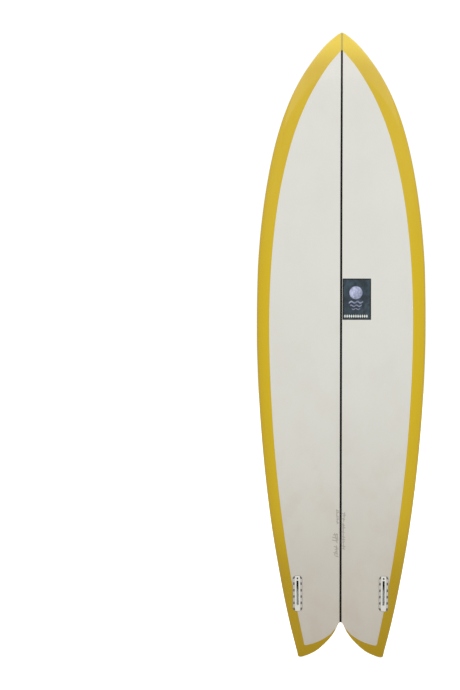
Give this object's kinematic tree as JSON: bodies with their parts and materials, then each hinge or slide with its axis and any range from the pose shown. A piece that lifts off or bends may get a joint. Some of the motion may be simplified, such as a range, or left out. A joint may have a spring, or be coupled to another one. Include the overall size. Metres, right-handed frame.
{
  "type": "surfboard",
  "caption": "Twin-fin fish surfboard with a swallow tail, foam core, wooden stringer, tinted cut-lap glassing, fin boxes and leash plug.",
  "frame": {"origin": "on the centre line of the bottom, level with the tail tips along the board and with the lowest point of the bottom in height", "axes": "+Z along the board from tail tips to nose, +Y from the bottom to the deck, +X to the right looking at the bottom with the nose up"},
  "size_m": [0.54, 0.1306, 2.083],
  "materials": {
    "foam": "closed-cell shaped foam",
    "stringer_wood": "dark stained ply",
    "tinted_laminate": "polished gloss, yellow resin tint over glass cloth",
    "clear_laminate": "polished gloss over white foam",
    "glass_cloth": "resin-wet cloth",
    "decal_print": "printed, under gloss",
    "box_plastic": "translucent moulded",
    "resin_fill": "cast resin",
    "plug_resin": "milky cast resin",
    "screw_steel": "stainless",
    "plug_plastic": "moulded black"
  },
  "bodies": {
    "board": {"foam_core_left": "foam", "foam_core_right": "foam", "stringer": "stringer_wood", "deck_laminate": "tinted_laminate", "bottom_laminate": "clear_laminate", "deck_patch": "glass_cloth", "decal": "decal_print", "fin_patch_left": "glass_cloth", "fin_patch_right": "glass_cloth", "fin_box_left": "box_plastic", "fin_box_right": "box_plastic", "fin_box_bond_left": "resin_fill", "fin_box_bond_right": "resin_fill", "leash_plug_ring": "plug_resin", "leash_plug_cup": "plug_plastic", "leash_plug_pin": "screw_steel"},
    "screw_left": {"fin_screw_left": "screw_steel"},
    "screw_right": {"fin_screw_right": "screw_steel"}
  },
  "joints": [
    {"name": "fin_screw_left_drive", "type": "slide", "parent": "board", "child": "screw_left", "axis": [0, 0.8264, -0.5631], "range_m": [0, 0.004]},
    {"name": "fin_screw_right_drive", "type": "slide", "parent": "board", "child": "screw_right", "axis": [0, 0.8264, -0.5631], "range_m": [0, 0.004]}
  ]
}
